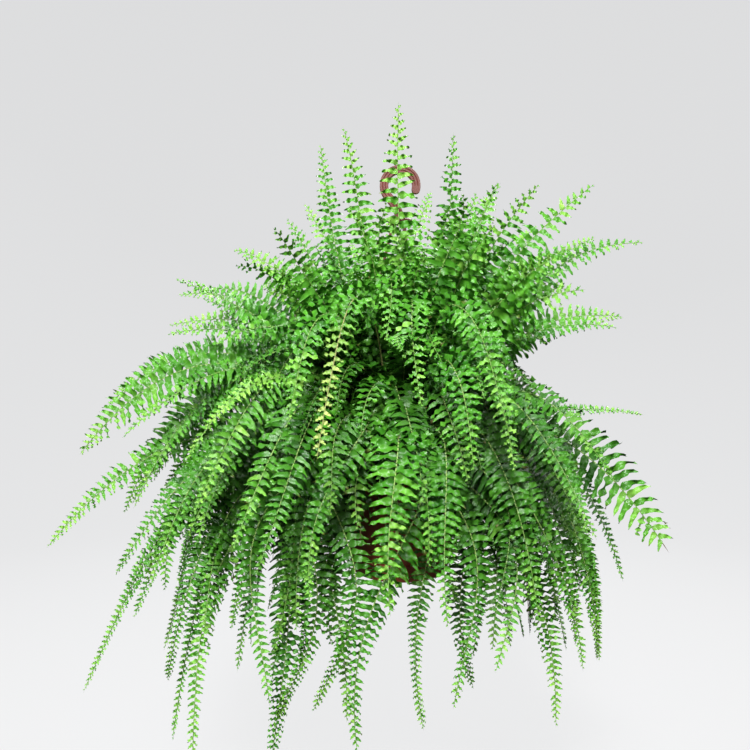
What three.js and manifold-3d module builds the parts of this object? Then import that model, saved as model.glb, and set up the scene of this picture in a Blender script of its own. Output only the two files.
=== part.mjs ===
import * as THREE from "three";
import { mergeVertices } from "three/addons/utils/BufferGeometryUtils.js";
import Module from "manifold-3d";

// A Boston fern in a plastic hanging pot. Sizes are in millimetres, +Z is up and -Y is the front.
// Everything is drawn with the saucer's underside at height 0, and moved at the end so that the
// seat of the hook is the origin.

const GAP = 0.3; // between pieces that touch

const POT_H = 150; // from the saucer's underside to the rim
const POT_TOP_R = 94; // outside of the wall, just under the rim
const POT_BASE_R = 68;
const POT_LIFT = 4; // height of the pot's own base inside the saucer
const WALL = 2.2;
const RIM_WIDER = 14; // the flange, beyond the wall
const RIM_LIP = 9; // depth of the flange's turned-down edge
const DRAIN_R = 4;
const DRAIN_RING_R = 44;
const DRAIN_COUNT = 8;

const SAUCER_H = 26;
const SAUCER_WIDER = 4; // beyond the pot's base
const SAUCER_FLARE = 8; // from its base to its top edge

const SOIL_DOWN = 4; // soil surface below the rim
const SOIL_DOME = 5;
const CROWN_R = 62;
const CROWN_H = 26;

const HANGER_L = 450; // from the rim up to the seat of the hook
const HOOK_R = 24.4; // centre line of the hook's loop
const HOOK_W = 13; // across the hook's broad face
const HOOK_T = 7.5;
const RIB_DEPTH = 0.9;
const HOOK_START = -14; // degrees round the loop, the free end
const HOOK_END = 222; // where the loop turns into the stem
const HUB_R = 18;
const HUB_H = 8;
const HUB_DOWN = 49; // hub's top below the loop's centre
const STRAND_R = 2.2;
const STRAND_COUNT = 3;
const STRAND_TURN = -60; // degrees, of the first strand
const STRAND_RING_R = POT_TOP_R + 5.5; // holes in the flange
const STRAND_TOP_R = 11; // sockets in the hub
const SOCKET = 5;
const BUTTON_R = 4;

const SPREAD = 1; // stretches the fronds outwards
const HEIGHT = 1; // stretches the fronds up and down
const BLADE_T = 3; // blade thickness at the midrib
const STIPE = 3; // width of a frond's bare stalk
const RINGS = 14;
const RIM_CLEAR = 16; // height at which a drooping frond passes over the rim

const rad = THREE.MathUtils.degToRad;
const rimR = POT_TOP_R + RIM_WIDER;
const soilTop = POT_H - SOIL_DOWN;
const seatZ = POT_H + HANGER_L;
const loopZ = seatZ - HOOK_R + HOOK_W / 2;
const hubTop = loopZ - HUB_DOWN;

const wasm = await Module();
wasm.setup();

// A geometry as a manifold solid, turned right side out if it needs it.
function solidOf(geometry) {
  const bare = new THREE.BufferGeometry();
  const flat = geometry.index ? geometry.toNonIndexed() : geometry;
  bare.setAttribute("position", flat.getAttribute("position").clone());
  const merged = mergeVertices(bare, 1e-3);
  const triVerts = new Uint32Array(merged.index.array);
  const vertProperties = new Float32Array(merged.attributes.position.array);
  const build = () => new wasm.Manifold(new wasm.Mesh({ numProp: 3, vertProperties, triVerts }));
  const made = build();
  if (made.volume() > 0) return made;
  for (let i = 0; i < triVerts.length; i += 3) {
    [triVerts[i + 1], triVerts[i + 2]] = [triVerts[i + 2], triVerts[i + 1]];
  }
  return build();
}

function geometryOf(solid) {
  const mesh = solid.getMesh();
  const geometry = new THREE.BufferGeometry();
  geometry.setAttribute("position", new THREE.BufferAttribute(mesh.vertProperties.slice(), 3));
  geometry.setIndex(new THREE.BufferAttribute(mesh.triVerts.slice(), 1));
  const flat = geometry.toNonIndexed();
  flat.computeVertexNormals();
  return flat;
}

// A closed profile of [radius, height] points turned about Z.
function turned(profile, segments) {
  const points = profile.map(([r, z]) => new THREE.Vector2(r, z));
  points.push(points[0].clone());
  return new THREE.LatheGeometry(points, segments).rotateX(Math.PI / 2);
}

// A solid profile turned about Z, whose first and last points lie on the axis.
function turnedSolid(profile, segments) {
  const points = profile.map(([r, z]) => new THREE.Vector2(r, z));
  return new THREE.LatheGeometry(points, segments).rotateX(Math.PI / 2);
}

function cylinderAt(radius, low, high, x, y, segments) {
  return new THREE.CylinderGeometry(radius, radius, high - low, segments)
    .rotateX(Math.PI / 2)
    .translate(x, y, (low + high) / 2);
}

// A round bar between two points.
function bar(from, to, radius, segments) {
  const along = to.clone().sub(from);
  const turn = new THREE.Quaternion().setFromUnitVectors(
    new THREE.Vector3(0, 1, 0),
    along.clone().normalize(),
  );
  return new THREE.CylinderGeometry(radius, radius, along.length(), segments)
    .applyQuaternion(turn)
    .translate(...from.clone().add(to).multiplyScalar(0.5).toArray());
}

const polar = (r, degrees, z) =>
  new THREE.Vector3(r * Math.cos(rad(degrees)), r * Math.sin(rad(degrees)), z);

const root = new THREE.Group();
const solids = [];

function add(name, solid, color, roughness) {
  const material = new THREE.MeshStandardMaterial({ color, roughness, metalness: 0 });
  const mesh = new THREE.Mesh(geometryOf(solid).translate(0, 0, -seatZ), material);
  mesh.name = name;
  root.add(mesh);
  solids.push(solid);
}

// The pot: a tapered bucket with a flat flange whose outer edge turns down.
function pot() {
  const shell = solidOf(
    turned(
      [
        [0, POT_LIFT],
        [POT_BASE_R - 2, POT_LIFT],
        [POT_BASE_R, POT_LIFT + 2],
        [POT_TOP_R, POT_H - WALL],
        [rimR - WALL, POT_H - WALL],
        [rimR - WALL, POT_H - RIM_LIP],
        [rimR, POT_H - RIM_LIP],
        [rimR, POT_H - 1],
        [rimR - 1, POT_H],
        [POT_TOP_R - WALL, POT_H],
        [POT_BASE_R - WALL, POT_LIFT + WALL + 1],
        [POT_BASE_R - WALL - 1, POT_LIFT + WALL],
        [0, POT_LIFT + WALL],
      ],
      64,
    ),
  );
  const holes = [];
  for (let i = 0; i < STRAND_COUNT; i++) {
    const at = polar(STRAND_RING_R, STRAND_TURN + (360 / STRAND_COUNT) * i, 0);
    holes.push(solidOf(cylinderAt(STRAND_R + 0.9, POT_H - 6, POT_H + 6, at.x, at.y, 20)));
  }
  for (let i = 0; i < DRAIN_COUNT; i++) {
    const at = polar(DRAIN_RING_R, (360 / DRAIN_COUNT) * i, 0);
    holes.push(solidOf(cylinderAt(DRAIN_R, 0, 10, at.x, at.y, 16)));
  }
  return holes.reduce((left, hole) => left.subtract(hole), shell);
}

// The radius of the pot's outside at a height.
const potRadius = (z) =>
  THREE.MathUtils.mapLinear(z, POT_LIFT + 2, POT_H - WALL, POT_BASE_R, POT_TOP_R);

// A clip-on saucer: a shallow dish with one step half way up.
function saucer() {
  const foot = POT_BASE_R + SAUCER_WIDER;
  const top = foot + SAUCER_FLARE;
  const step = SAUCER_H * 0.42;
  return solidOf(
    turned(
      [
        [0, 0],
        [foot - 1.5, 0],
        [foot, 1.5],
        [foot + 2.5, step],
        [foot + 4.5, step + 1],
        [top - 1.2, SAUCER_H - 3.4],
        [top, SAUCER_H - 2.8],
        [top, SAUCER_H],
        [top - 3, SAUCER_H],
        [foot + 2, step + 2.5],
        [POT_BASE_R + 2, POT_LIFT + 2],
        [POT_BASE_R + 1, POT_LIFT - GAP],
        [0, POT_LIFT - GAP],
      ],
      64,
    ),
  );
}

// The root ball fills the pot, with a slightly domed top.
function soil() {
  const floor = POT_LIFT + WALL + GAP;
  const inner = (z) => potRadius(z - 2.5) - WALL - GAP;
  const profile = [
    [0, floor],
    [POT_BASE_R - WALL - 2.2, floor],
    [inner(floor + 6), floor + 6],
    [inner(soilTop - 2), soilTop - 2],
    [inner(soilTop) - 4, soilTop],
  ];
  for (let i = 1; i <= 3; i++) {
    const r = inner(soilTop) * (1 - i / 3) * 0.9;
    profile.push([r, soilTop + SOIL_DOME * Math.sin((i / 3) * (Math.PI / 2))]);
  }
  return solidOf(turnedSolid(profile, 64));
}

// The crown is a low mound of matted stems, from which the fronds rise.
const crownFoot = soilTop + SOIL_DOME + GAP;
const crownHeight = (r) => crownFoot + CROWN_H * Math.sqrt(Math.max(0, 1 - (r / CROWN_R) ** 2));

function crown() {
  const profile = [[0, crownFoot], [CROWN_R, crownFoot]];
  for (let i = 1; i <= 6; i++) {
    const r = CROWN_R * Math.cos((i / 6) * (Math.PI / 2));
    profile.push([i === 6 ? 0 : r, crownHeight(r)]);
  }
  return solidOf(turnedSolid(profile, 36));
}

// The strands run from sockets in the hub through holes in the flange.
const hubFoot = hubTop - HUB_H;
const strandLine = (i) => {
  const turn = STRAND_TURN + (360 / STRAND_COUNT) * i;
  return { top: polar(STRAND_TOP_R, turn, hubFoot), foot: polar(STRAND_RING_R, turn, POT_H) };
};

// The hook: a ribbed bar bent round an open loop, its stem running down into a round hub.
function hook() {
  const points = [];
  for (let i = 0; i <= 20; i++) {
    points.push(polarXZ(HOOK_START + ((HOOK_END - HOOK_START) * i) / 20));
  }
  const end = polarXZ(HOOK_END);
  const out = new THREE.Vector3(-Math.sin(rad(HOOK_END)), 0, Math.cos(rad(HOOK_END)));
  const foot = new THREE.Vector3(0, 0, hubTop - HUB_H / 2);
  const bend = new THREE.CubicBezierCurve3(
    end,
    end.clone().addScaledVector(out, 12),
    new THREE.Vector3(0, 0, hubTop + 10),
    foot,
  );
  points.push(...bend.getPoints(6).slice(1));
  const path = new THREE.CatmullRomCurve3(points);

  const [t, w, d] = [HOOK_T / 2, HOOK_W / 2, RIB_DEPTH];
  const half = [
    [t - 1.2, -w],
    [t, -w + 1.2],
    [t, -w * 0.5],
    [t - d, -w * 0.32],
    [t, -w * 0.14],
    [t, w * 0.14],
    [t - d, w * 0.32],
    [t, w * 0.5],
    [t, w - 1.2],
    [t - 1.2, w],
  ];
  const outline = [...half, ...half.map(([x, y]) => [-x, -y])];
  const shape = new THREE.Shape(outline.map(([x, y]) => new THREE.Vector2(x, y)));
  const options = { steps: 36, extrudePath: path, bevelEnabled: false };
  let made = solidOf(new THREE.ExtrudeGeometry(shape, options));

  const tip = polarXZ(HOOK_START);
  const round = new THREE.CylinderGeometry(w - 0.2, w - 0.2, HOOK_T - 0.4, 24);
  made = made.add(solidOf(round.translate(tip.x, tip.y, tip.z)));

  const hub = [
    [0, hubFoot],
    [HUB_R - 1.5, hubFoot],
    [HUB_R, hubFoot + 1.5],
    [HUB_R, hubTop - 3],
    [HUB_R - 3, hubTop],
    [0, hubTop],
  ];
  made = made.add(solidOf(turnedSolid(hub, 32)));
  for (let i = 0; i < STRAND_COUNT; i++) {
    const { top, foot: below } = strandLine(i);
    const up = top.clone().sub(below).normalize();
    const from = top.clone().addScaledVector(up, -4);
    const to = top.clone().addScaledVector(up, SOCKET);
    made = made.subtract(solidOf(bar(from, to, STRAND_R + GAP, 16)));
  }
  return made;
}

function polarXZ(degrees) {
  return new THREE.Vector3(
    HOOK_R * Math.cos(rad(degrees)),
    0,
    loopZ + HOOK_R * Math.sin(rad(degrees)),
  );
}

function strand(i) {
  const { top, foot } = strandLine(i);
  const down = foot.clone().sub(top).normalize();
  const drop = (WALL + GAP + BUTTON_R) / -down.z;
  const start = top.clone().addScaledVector(down, -(SOCKET - GAP));
  const button = foot.clone().addScaledVector(down, drop);
  const rod = solidOf(bar(start, button, STRAND_R, 12));
  const ball = new THREE.SphereGeometry(BUTTON_R, 12, 8).translate(...button.toArray());
  return rod.add(solidOf(ball));
}

// Fronds. Each row is a name, the tip's place from the middle of the rim (x, y, z), how far out
// and how high the midrib's guide point is, the full width, and how far the blade turns to the
// light at the front (0 to 1).
const FRONDS = [
  ["t01", -12, -90, 520, 1, 250, 64, 0.9],
  ["f01", -22, -300, -105, 0.8, 200, 76, 1],
  ["t15", 361, -120, -92, 0.5, 185, 98, 0.95],
  ["f02", -95, -300, 60, 0.62, 460, 66, 0.9],
  ["f03", 77, -280, 51, 0.65, 300, 66, 0.9],
  ["s06", -468, -60, 29, 0.55, 310, 88, 0.8],
  ["s01", -272, 0, 352, 0.45, 300, 66, 0.9],
  ["t02", -85, -40, 505, 0.5, 290, 56, 0.9],
  ["t03", -130, 60, 519, 0.75, 250, 52, 0.6],
  ["t04", -156, 150, 436, 0.5, 290, 56, 0.7],
  ["t05", 73, -30, 502, 1.1, 250, 58, 0.6],
  ["t06", 90, 200, 474, 0.4, 310, 60, 0.8],
  ["t07", 169, 60, 456, 0.5, 300, 60, 0.8],
  ["t08", 203, 20, 430, 0.45, 290, 62, 0.8],
  ["t09", 281, -20, 423, 0.5, 340, 66, 0.8],
  ["t10", 356, 200, 390, 0.5, 330, 64, 0.8],
  ["t11", 375, 20, 348, 0.5, 350, 62, 0.7],
  ["t12", 353, 80, 237, 0.5, 280, 62, 0.7],
  ["t13", 314, -60, 215, 0.5, 270, 60, 0.6],
  ["t14", 390, 50, 80, 0.55, 125, 44, 0.3],
  ["t16", 292, -60, -278, 0.85, 150, 58, 0.8],
  ["t17", 200, -120, -353, 0.8, 160, 62, 0.8],
  ["t18", 119, -80, -290, 1.15, 180, 54, 0.8],
  ["s03", -394, 60, 228, 0.5, 290, 60, 0.7],
  ["s04", -371, 120, 275, 0.5, 300, 58, 0.7],
  ["s05", -341, -40, 204, 0.5, 270, 56, 0.6],
  ["s07", -470, 0, 85, 0.55, 300, 76, 0.7],
  ["s08", -519, 0, -106, 0.6, 150, 64, 0.7],
  ["s11", -409, -40, -128, 0.65, 150, 60, 0.7],
  ["s12", -484, 0, -335, 0.62, 120, 58, 0.7],
  ["s13", -385, -80, -207, 0.7, 140, 62, 0.7],
  ["s14", -405, 60, -329, 0.75, 130, 58, 0.6],
  ["s16", -337, 20, -379, 0.8, 140, 60, 0.6],
  ["s17", -303, -100, -390, 0.8, 160, 64, 0.8],
  ["s19", -210, -60, -410, 0.9, 160, 60, 0.7],
  ["s21", -105, -130, -310, 1.1, 190, 60, 0.8],
  ["f23", -26, -240, -300, 0.9, 190, 64, 0.9],
  ["f25", 38, -180, -305, 1.05, 190, 44, 0.9],
  ["f26", 31, -260, -139, 0.8, 190, 60, 0.9],
  ["f04", -246, -200, 86, 0.55, 230, 46, 0.5],
];

// The back of the plant, in a fan of drooping, spreading and upright fronds.
const BACK_COUNT = 12;
for (let i = 0; i < BACK_COUNT; i++) {
  const turn = 14 + (152 * (i + 0.5)) / BACK_COUNT;
  const kind = (i * 5) % 3;
  const sway = Math.sin(i * 2.4);
  const reach = [360, 415, 270][kind] + 25 * sway;
  const tip = polar(reach, turn, [-290, 40, 350][kind] + 45 * Math.cos(i * 1.7));
  const [out, high] = [[0.8, 170], [0.55, 270], [0.45, 300]][kind];
  const name = "b" + String(i + 1).padStart(2, "0");
  FRONDS.push([name, tip.x, tip.y, tip.z, out, high, 62 + 6 * sway, 0]);
}

// The midrib's three guide points: on the crown, over the rim, and the tip.
function guides([, x, y, z, out, high]) {
  const tip = new THREE.Vector3(x * SPREAD, y * SPREAD, z * HEIGHT);
  const reach = Math.hypot(tip.x, tip.y);
  const lift = Math.atan2(tip.z, reach) / (Math.PI / 2);
  const r0 = CROWN_R * Math.min(0.93, 0.62 - 0.5 * lift);
  const away = new THREE.Vector2(tip.x, tip.y).divideScalar(reach);
  const slope = Math.sqrt(Math.max(0.01, 1 - (r0 / CROWN_R) ** 2));
  const z0 = crownHeight(r0) + GAP / slope + 0.3;
  let h = POT_H + high * HEIGHT;
  const tipZ = POT_H + tip.z;
  for (let t = 0.02; t < 1; t += 0.02) {
    const r = (1 - t) ** 2 * r0 + 2 * t * (1 - t) * out * reach + t * t * reach;
    if (r > rimR - 12 && r < rimR + 12) {
      const need = (POT_H + RIM_CLEAR - (1 - t) ** 2 * z0 - t * t * tipZ) / (2 * t * (1 - t));
      h = Math.max(h, need);
    }
  }
  return [
    new THREE.Vector3(away.x * r0, away.y * r0, z0),
    new THREE.Vector3(tip.x * out, tip.y * out, h),
    new THREE.Vector3(tip.x, tip.y, tipZ),
  ];
}

const smooth = (a, b, v) => THREE.MathUtils.smoothstep(v, a, b);
const LIGHT = new THREE.Vector3(0, -0.94, 0.34);

// How wide the blade is along the midrib, as a share of its full width.
const outlineAt = (t) => smooth(0.04, 0.36, t) * (1 - Math.max(0, (t - 0.42) / 0.58) ** 1.7);

// A blade: a ribbon with a lens-shaped section, pointed at both ends.
function blade(row, turn, width, swell) {
  const [a, b, c] = guides(row);
  const curve = new THREE.QuadraticBezierCurve3(a, b, c);
  const away = new THREE.Vector3(c.x, c.y, 0).normalize();
  const face = row[7];
  const across = new THREE.Vector3(-away.y, away.x, 0);
  const bend = new THREE.Vector3().crossVectors(curve.getTangent(0.5), across);
  if (bend.dot(LIGHT) < 0) across.negate();
  const rings = [];
  for (let i = 1; i <= RINGS; i++) {
    const t = (i - 0.4) / (RINGS + 0.2);
    const at = curve.getPoint(t);
    const along = curve.getTangent(t).normalize();
    const natural = new THREE.Vector3().crossVectors(along, across).normalize();
    const toLight = face * smooth(0.1, 0.45, t);
    const up = natural.multiplyScalar(1 - toLight).addScaledVector(LIGHT, toLight);
    const side = new THREE.Vector3().crossVectors(up, along).normalize();
    const normal = new THREE.Vector3().crossVectors(along, side).normalize();
    const half = STIPE / 2 + (width / 2 - STIPE / 2) * outlineAt(t) + swell;
    const thick = (BLADE_T / 2) * (1 - 0.6 * t) + swell;
    rings.push([
      at.clone().addScaledVector(side, half),
      at.clone().addScaledVector(normal, thick),
      at.clone().addScaledVector(side, -half),
      at.clone().addScaledVector(normal, -thick),
    ]);
  }
  const verts = [a, ...rings.flat(), c];
  const faces = [];
  const last = verts.length - 1;
  const first = (ring) => 1 + ring * 4;
  for (let k = 0; k < 4; k++) {
    const m = (k + 1) % 4;
    faces.push(0, first(0) + k, first(0) + m);
    faces.push(last, first(RINGS - 1) + m, first(RINGS - 1) + k);
    for (let ring = 0; ring + 1 < RINGS; ring++) {
      const [p, q] = [first(ring), first(ring + 1)];
      // both faces of the blade split the same way, so that a twist can't push one through the other
      if (k % 2) faces.push(p + k, q + k, p + m, p + m, q + k, q + m);
      else faces.push(p + k, q + k, q + m, p + k, q + m, p + m);
    }
  }
  const geometry = new THREE.BufferGeometry().setFromPoints(verts);
  geometry.setIndex(faces);
  return solidOf(geometry.rotateZ(rad(turn)));
}

// Each frond in turn is moved a little round the pot, and made narrower if that is not enough,
// until it stands clear of everything already in place.
const TRIES = [[1, 9], [0.8, 10], [0.6, 12], [0.4, 16], [0.2, 24], [0.08, 60]];

function clearBlade(row) {
  for (const [share, limit] of TRIES) {
    for (let k = 0; k <= limit; k++) {
      const turn = (k % 2 ? 1 : -1) * Math.ceil(k / 2) * 2;
      const made = blade(row, turn, row[6] * share, 0);
      const wide = blade(row, turn, row[6] * share, 0.35);
      const box = wide.boundingBox();
      const meets = (one, other) => !one.intersect(other).isEmpty();
      const hit = solids.some((s) => near(box, s) && (meets(wide, s) || meets(made, s)));
      wide.delete();
      if (!hit) return made;
      made.delete();
    }
  }
  throw new Error("no clear place for frond " + row[0]);
}

const boxes = new Map();
function near(box, other) {
  if (!boxes.has(other)) boxes.set(other, other.boundingBox());
  const b = boxes.get(other);
  return [0, 1, 2].every((i) => box.min[i] <= b.max[i] && box.max[i] >= b.min[i]);
}

const PLASTIC = 0x7c3a2c;
add("pot", pot(), PLASTIC, 0.5);
add("saucer", saucer(), PLASTIC, 0.5);
add("soil", soil(), 0x2e2219, 0.95);
add("crown", crown(), 0x4a3a22, 0.9);
add("hanger_hook", hook(), 0x9a5548, 0.45);
for (let i = 0; i < STRAND_COUNT; i++) {
  add("hanger_strand_" + (i + 1), strand(i), 0x9a5548, 0.45);
}
const GREENS = [0x4f8f32, 0x3f7d2c, 0x5f9f3a, 0x6cae3c];
FRONDS.forEach((row, i) => {
  add("frond_" + row[0], clearBlade(row), GREENS[i % GREENS.length], 0.6);
});

export default root;
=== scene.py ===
import math
import random

import bpy
import numpy as np
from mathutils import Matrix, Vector


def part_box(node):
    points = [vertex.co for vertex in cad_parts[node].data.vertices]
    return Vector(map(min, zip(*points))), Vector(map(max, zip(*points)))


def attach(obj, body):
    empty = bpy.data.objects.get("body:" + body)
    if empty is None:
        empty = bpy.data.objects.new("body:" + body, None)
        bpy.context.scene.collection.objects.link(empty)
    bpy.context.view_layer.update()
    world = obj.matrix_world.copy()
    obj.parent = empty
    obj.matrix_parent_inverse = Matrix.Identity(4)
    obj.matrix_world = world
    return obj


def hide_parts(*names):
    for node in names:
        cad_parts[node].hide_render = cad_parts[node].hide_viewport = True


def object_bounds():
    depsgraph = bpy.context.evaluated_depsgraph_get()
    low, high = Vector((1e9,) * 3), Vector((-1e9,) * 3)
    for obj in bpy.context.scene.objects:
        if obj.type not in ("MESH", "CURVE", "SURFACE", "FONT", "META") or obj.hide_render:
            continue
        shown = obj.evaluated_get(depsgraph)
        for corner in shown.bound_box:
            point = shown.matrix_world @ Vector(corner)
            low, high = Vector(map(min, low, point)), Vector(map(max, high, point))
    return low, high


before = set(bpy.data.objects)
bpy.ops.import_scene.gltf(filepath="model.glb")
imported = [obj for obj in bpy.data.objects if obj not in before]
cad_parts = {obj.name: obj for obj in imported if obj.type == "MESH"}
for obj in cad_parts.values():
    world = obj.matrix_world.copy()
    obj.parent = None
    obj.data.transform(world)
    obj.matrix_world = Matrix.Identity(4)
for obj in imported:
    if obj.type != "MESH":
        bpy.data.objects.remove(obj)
CAD_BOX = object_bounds()

# A Boston fern in a plastic hanging pot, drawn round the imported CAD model. +Z is up, -Y is the
# front and the origin is the seat of the hook. Lengths are in metres, unless a comment says mm.
MM = 0.001
POT_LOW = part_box("saucer")[0].z  # the saucer's underside
RIM_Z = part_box("pot")[1].z
RIM_R = (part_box("pot")[1].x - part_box("pot")[0].x) / 2
SOIL_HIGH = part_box("soil")[1]
CROWN_LOW, CROWN_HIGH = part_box("crown")
CROWN_R = (CROWN_HIGH.x - CROWN_LOW.x) / 2
CROWN_H = CROWN_HIGH.z - CROWN_LOW.z
UP = np.array([0, 0, 1])
LIGHT = np.array([0, -0.94, 0.34])  # the way the leaves turn their upper faces
PHASE = 6.28  # a whole turn, for phases dealt by chance

# Each row: name, tip (mm from the middle of the rim), guide point's reach as a share of the tip's
# and its height in mm, full width in mm, how far the frond turns its upper face to the light. The
# rows are the same as the CAD model's.
FRONDS = [
    ["t01", -12, -90, 520, 1, 250, 64, 0.9],
    ["f01", -22, -300, -105, 0.8, 200, 76, 1],
    ["t15", 361, -120, -92, 0.5, 185, 98, 0.95],
    ["f02", -95, -300, 60, 0.62, 460, 66, 0.9],
    ["f03", 77, -280, 51, 0.65, 300, 66, 0.9],
    ["s06", -468, -60, 29, 0.55, 310, 88, 0.8],
    ["s01", -272, 0, 352, 0.45, 300, 66, 0.9],
    ["t02", -85, -40, 505, 0.5, 290, 56, 0.9],
    ["t03", -130, 60, 519, 0.75, 250, 52, 0.6],
    ["t04", -156, 150, 436, 0.5, 290, 56, 0.7],
    ["t05", 73, -30, 502, 1.1, 250, 58, 0.6],
    ["t06", 90, 200, 474, 0.4, 310, 60, 0.8],
    ["t07", 169, 60, 456, 0.5, 300, 60, 0.8],
    ["t08", 203, 20, 430, 0.45, 290, 62, 0.8],
    ["t09", 281, -20, 423, 0.5, 340, 66, 0.8],
    ["t10", 356, 200, 390, 0.5, 330, 64, 0.8],
    ["t11", 375, 20, 348, 0.5, 350, 62, 0.7],
    ["t12", 353, 80, 237, 0.5, 280, 62, 0.7],
    ["t13", 314, -60, 215, 0.5, 270, 60, 0.6],
    ["t14", 390, 50, 80, 0.55, 125, 44, 0.3],
    ["t16", 292, -60, -278, 0.85, 150, 58, 0.8],
    ["t17", 200, -120, -353, 0.8, 160, 62, 0.8],
    ["t18", 119, -80, -290, 1.15, 180, 54, 0.8],
    ["s03", -394, 60, 228, 0.5, 290, 60, 0.7],
    ["s04", -371, 120, 275, 0.5, 300, 58, 0.7],
    ["s05", -341, -40, 204, 0.5, 270, 56, 0.6],
    ["s07", -470, 0, 85, 0.55, 300, 76, 0.7],
    ["s08", -519, 0, -106, 0.6, 150, 64, 0.7],
    ["s11", -409, -40, -128, 0.65, 150, 60, 0.7],
    ["s12", -484, 0, -335, 0.62, 120, 58, 0.7],
    ["s13", -385, -80, -207, 0.7, 140, 62, 0.7],
    ["s14", -405, 60, -329, 0.75, 130, 58, 0.6],
    ["s16", -337, 20, -379, 0.8, 140, 60, 0.6],
    ["s17", -303, -100, -390, 0.8, 160, 64, 0.8],
    ["s19", -210, -60, -410, 0.9, 160, 60, 0.7],
    ["s21", -105, -130, -310, 1.1, 190, 60, 0.8],
    ["f23", -26, -240, -300, 0.9, 190, 64, 0.9],
    ["f25", 38, -180, -305, 1.05, 190, 44, 0.9],
    ["f26", 31, -260, -139, 0.8, 190, 60, 0.9],
    ["f04", -246, -200, 86, 0.55, 230, 46, 0.5],
]

# Twelve more close the back. Each kind: reach and height of the tip in mm, guide point's reach as
# a share of the tip's and its height in mm.
BACK_COUNT = 12
BACK_KINDS = ((360, -290, 0.8, 170), (415, 40, 0.55, 270), (270, 350, 0.45, 300))
for i in range(BACK_COUNT):
    turn = math.radians(14 + 152 * (i + 0.5) / BACK_COUNT)
    sway = math.sin(i * 2.4)
    reach, high, out, guide = BACK_KINDS[(i * 5) % 3]
    reach += 25 * sway
    high += 45 * math.cos(i * 1.7)
    tip = [reach * math.cos(turn), reach * math.sin(turn), high]
    FRONDS.append([f"b{i + 1:02d}", *tip, out, guide, 62 + 6 * sway, 0])

# Fronds that stand among the main ones and show in front, with no CAD node of their own.
EXTRA = [
    ["e01", -178, 50, 385, 0.5, 300, 56, 0.9],
    ["e02", -440, 60, -78, 0.6, 290, 72, 0.8],
    ["e03", -339, -60, -300, 0.75, 170, 58, 0.8],
    ["e04", -185, -190, -250, 0.9, 190, 62, 0.9],
    ["e05", -150, -150, -330, 0.95, 190, 60, 0.8],
    ["e06", -98, -180, -290, 1.0, 200, 56, 0.9],
    ["e07", 66, -210, -260, 0.95, 200, 58, 0.9],
    ["e08", 19, -230, 110, 0.6, 430, 60, 0.9],
    ["e09", -330, -160, -120, 0.65, 220, 62, 0.8],
    ["e10", -260, -190, -60, 0.65, 260, 64, 0.8],
    ["e11", -390, -90, 60, 0.55, 280, 62, 0.7],
    ["e12", 160, -200, -160, 0.75, 230, 62, 0.9],
    ["e13", 240, -160, -60, 0.6, 250, 64, 0.8],
    ["e14", 215, -160, -250, 0.8, 200, 58, 0.8],
    ["e15", 240, -60, 330, 0.5, 300, 74, 0.9],
    ["e16", 130, -110, 400, 0.5, 290, 66, 0.9],
    ["e17", -200, -90, 300, 0.5, 290, 60, 0.8],
    ["e18", -60, -120, 380, 0.6, 280, 58, 0.8],
    ["e19", 34, -130, 310, 0.7, 360, 62, 0.9],
    ["e20", 196, -150, 310, 0.5, 250, 82, 0.95],
    ["e21", -150, -230, 90, 0.6, 400, 64, 0.9],
    ["e22", -250, -130, 190, 0.5, 300, 76, 0.9],
    ["e23", 130, -230, 40, 0.65, 400, 64, 0.9],
    ["e24", -100, -240, -120, 0.75, 240, 60, 0.9],
    ["e25", 330, -20, -160, 0.7, 190, 56, 0.7],
    ["e26", 270, 60, -300, 0.85, 170, 56, 0.6],
    ["e27", -392, 30, -30, 0.58, 300, 72, 0.8],
    ["e28", -332, -60, 55, 0.5, 290, 68, 0.7],
    ["e29", -385, -60, -40, 0.58, 300, 72, 0.8],
    ["e30", -293, -120, -72, 0.6, 240, 68, 0.8],
    ["e31", -237, -100, -215, 0.8, 190, 66, 0.8],
    ["e32", -176, -140, -223, 0.85, 190, 68, 0.8],
    ["e33", -132, -180, -180, 0.85, 200, 68, 0.9],
    ["e34", -83, -150, -212, 0.95, 200, 66, 0.9],
    ["e35", 84, -160, -150, 0.9, 200, 66, 0.9],
    ["e36", 130, -120, -219, 0.9, 190, 68, 0.9],
    ["e37", 262, -40, -256, 0.8, 180, 66, 0.8],
    ["e38", 305, 0, -290, 0.8, 160, 62, 0.7],
    ["e39", 272, 40, 279, 0.5, 300, 76, 0.9],
    ["e40", 206, -60, 194, 0.5, 300, 76, 0.9],
    ["e41", -55, 120, 430, 0.5, 270, 60, 0.7],
    ["e42", 138, 100, 445, 0.5, 280, 62, 0.7],
    ["e43", -30, -200, 190, 0.55, 430, 62, 0.9],
    ["e44", 118, -130, 350, 0.5, 290, 80, 0.95],
    ["e45", 110, -250, 100, 0.55, 420, 62, 0.9],
    ["e46", -140, -130, 300, 0.5, 290, 78, 0.95],
    ["e47", 245, -120, 262, 0.5, 260, 82, 0.95],
    ["e48", -200, -150, 60, 0.5, 380, 62, 0.8],
    ["e49", -250, 0, -310, 0.8, 160, 68, 0.8],
    ["e50", -300, 50, -250, 0.75, 170, 68, 0.8],
    ["e51", -196, 20, -330, 0.85, 160, 66, 0.8],
    ["e52", -352, 10, -240, 0.7, 180, 70, 0.8],
    ["e53", 180, 10, -290, 0.85, 160, 66, 0.8],
]


# ---------------------------------------------------------------- the line a frond follows
RIM_CLEAR = 16  # mm above the rim at which a drooping frond passes over it
RIM_BAND = 12  # mm on each side of the rim where it has to be that high
RIB_STEPS = 220


def smooth(a, b, v):
    """0 up to a, 1 from b, and a smooth step between them."""
    x = np.clip((np.asarray(v, float) - a) / (b - a), 0, 1)
    return x * x * (3 - 2 * x)


def mix(a, b, k):
    return a * (1 - k) + b * k


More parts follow.
